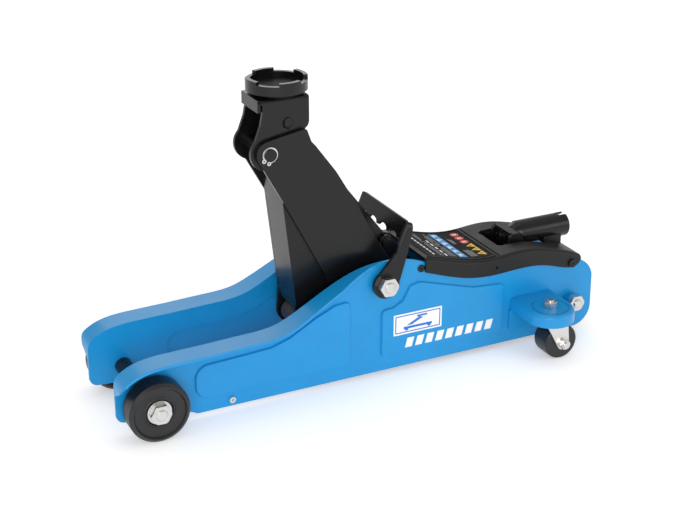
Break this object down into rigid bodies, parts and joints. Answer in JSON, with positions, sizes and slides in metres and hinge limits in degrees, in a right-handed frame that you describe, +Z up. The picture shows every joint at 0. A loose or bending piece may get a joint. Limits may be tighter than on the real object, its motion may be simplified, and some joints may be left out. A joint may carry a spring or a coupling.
{
  "type": "low-profile trolley jack",
  "caption": "Low-profile hydraulic trolley jack with its lift arm raised, on front wheels and rear swivel casters.",
  "frame": {"origin": "on the floor, under the middle of the chassis", "axes": "+X from the lifting end to the handle end, +Z up, left side faces -Y"},
  "size_m": [0.5571, 0.217, 0.33],
  "materials": {
    "blue_paint": "glossy blue coat",
    "black_paint": "satin black coat",
    "black_wheel": "satin black, worn tread",
    "zinc": "zinc plated",
    "steel": "bright steel",
    "hard_chrome": "polished",
    "grey_cast": "painted casting",
    "black_plastic": "moulded",
    "spring_steel": "oiled",
    "caster_roller": "moulded nylon"
  },
  "bodies": {
    "chassis": {"side_plate_left": "blue_paint", "side_plate_right": "blue_paint", "caster_shelf_left": "blue_paint", "caster_shelf_right": "blue_paint", "caster_studs": "zinc", "caster_stud_nuts": "zinc", "caster_swivel_races": "steel", "front_axle": "zinc", "front_axle_tube": "black_paint", "front_axle_nuts": "zinc", "front_axle_washers": "zinc", "stop_pins": "zinc", "cover_rivets": "black_paint", "rear_tie_rod": "zinc", "rear_tie_spacers": "blue_paint", "rear_tie_nuts": "zinc", "lift_shaft": "zinc", "lift_shaft_spacers": "black_paint", "lift_shaft_nuts": "zinc", "top_cover": "black_plastic", "cover_screws": "black_paint", "handle_rest": "black_plastic", "rocker_ears": "black_paint", "link_anchor": "black_paint", "link_pin_rear": "black_paint"},
    "lift_arm": {"arm_plate_left": "black_paint", "arm_plate_right": "black_paint", "arm_channel": "black_paint", "arm_pivot_tube": "black_paint", "yoke_pin": "black_paint", "yoke_pin_circlips": "zinc", "ram_pin": "black_paint"},
    "saddle_bracket_body": {"saddle_bracket": "black_paint", "link_pin_front": "black_paint", "link_pin_spacers": "black_paint"},
    "saddle_body": {"saddle": "black_paint"},
    "level_link_body": {"level_link": "black_paint"},
    "power_unit": {"pump_block": "grey_cast", "hydraulic_cylinder": "grey_cast", "oil_reservoir": "black_paint", "gland_nut": "steel", "filler_plug": "black_plastic", "pump_sleeve": "steel", "plunger_spring": "spring_steel", "return_springs": "spring_steel"},
    "ram": {"ram_rod": "hard_chrome", "crosshead": "grey_cast"},
    "plunger": {"pump_plunger": "hard_chrome"},
    "valve": {"release_valve": "steel"},
    "rocker": {"handle_rocker": "black_paint"},
    "socket": {"handle_socket": "black_paint"},
    "handle": {"carry_handle": "black_paint"},
    "wheel_left": {"front_wheel_left": "black_wheel"},
    "wheel_right": {"front_wheel_right": "black_wheel"},
    "fork_left": {"caster_fork_left": "zinc", "caster_axle_left": "zinc"},
    "fork_right": {"caster_fork_right": "zinc", "caster_axle_right": "zinc"},
    "roller_left": {"caster_wheel_left": "caster_roller"},
    "roller_right": {"caster_wheel_right": "caster_roller"}
  },
  "joints": [
    {"name": "lift", "type": "hinge", "parent": "chassis", "child": "lift_arm", "pos_m": [0.0143, 0, 0.1078], "axis": [0, 1, 0], "range_deg": [-72, 0]},
    {"name": "saddle_level", "type": "hinge", "parent": "lift_arm", "child": "saddle_bracket_body", "pos_m": [-0.103, 0, 0.26], "axis": [0, 1, 0], "range_deg": [0, 72]},
    {"name": "saddle_swivel", "type": "hinge", "parent": "saddle_bracket_body", "child": "saddle_body", "pos_m": [-0.0829, 0, 0.3135], "axis": [0, 0, 1], "continuous": true},
    {"name": "level_link_swing", "type": "hinge", "parent": "chassis", "child": "level_link_body", "pos_m": [0.0362, 0, 0.1363], "axis": [0, 1, 0], "range_deg": [-72, 0]},
    {"name": "power_unit_tilt", "type": "hinge", "parent": "chassis", "child": "power_unit", "pos_m": [0.25, 0, 0.0413], "axis": [0, 1, 0], "range_deg": [-9.91, 0], "deforming": ["return_springs"]},
    {"name": "ram_slide", "type": "slide", "parent": "power_unit", "child": "ram", "axis": [-0.9961, 0, 0.0879], "range_m": [-0.09075, 0]},
    {"name": "pump_stroke", "type": "hinge", "parent": "chassis", "child": "rocker", "pos_m": [0.1877, 0, 0.094], "axis": [0, 1, 0], "range_deg": [-35, 0]},
    {"name": "handle_twist", "type": "hinge", "parent": "rocker", "child": "socket", "pos_m": [0.2277, 0, 0.113], "axis": [1, 0, 0], "range_deg": [-90, 90]},
    {"name": "plunger_slide", "type": "slide", "parent": "power_unit", "child": "plunger", "axis": [0.0879, 0, 0.9961], "range_m": [0, 0.0158], "deforming": ["plunger_spring"]},
    {"name": "valve_turn", "type": "hinge", "parent": "power_unit", "child": "valve", "pos_m": [0.20084, 0, 0.07575], "axis": [0.0879, 0, 0.9961], "range_deg": [-90, 90]},
    {"name": "carry_handle_swing", "type": "hinge", "parent": "chassis", "child": "handle", "pos_m": [0.0143, 0, 0.1078], "axis": [0, 1, 0], "range_deg": [0, 30]},
    {"name": "front_wheel_left_roll", "type": "hinge", "parent": "chassis", "child": "wheel_left", "pos_m": [-0.2423, -0.06, 0.0315], "axis": [0, 1, 0], "continuous": true},
    {"name": "front_wheel_right_roll", "type": "hinge", "parent": "chassis", "child": "wheel_right", "pos_m": [-0.2423, 0.06, 0.0315], "axis": [0, 1, 0], "continuous": true},
    {"name": "caster_swivel_left", "type": "hinge", "parent": "chassis", "child": "fork_left", "pos_m": [0.1977, -0.082, 0.05], "axis": [0, 0, 1], "continuous": true},
    {"name": "caster_roll_left", "type": "hinge", "parent": "fork_left", "child": "roller_left", "pos_m": [0.2067, -0.082, 0.0195], "axis": [0, 1, 0], "continuous": true},
    {"name": "caster_swivel_right", "type": "hinge", "parent": "chassis", "child": "fork_right", "pos_m": [0.1977, 0.082, 0.05], "axis": [0, 0, 1], "continuous": true},
    {"name": "caster_roll_right", "type": "hinge", "parent": "fork_right", "child": "roller_right", "pos_m": [0.2067, 0.082, 0.0195], "axis": [0, 1, 0], "continuous": true}
  ],
  "couplings": [
    {"joint": "saddle_level", "follows": "lift", "ratio": -1},
    {"joint": "level_link_swing", "follows": "lift", "ratio": 1},
    {"joint": "power_unit_tilt", "follows": "lift", "ratio": 0.13758},
    {"joint": "ram_slide", "follows": "lift", "m_per_rad": 0.072216},
    {"joint": "plunger_slide", "follows": "pump_stroke", "m_per_rad": -0.0258},
    {"joint": "valve_turn", "follows": "handle_twist", "ratio": 1}
  ]
}
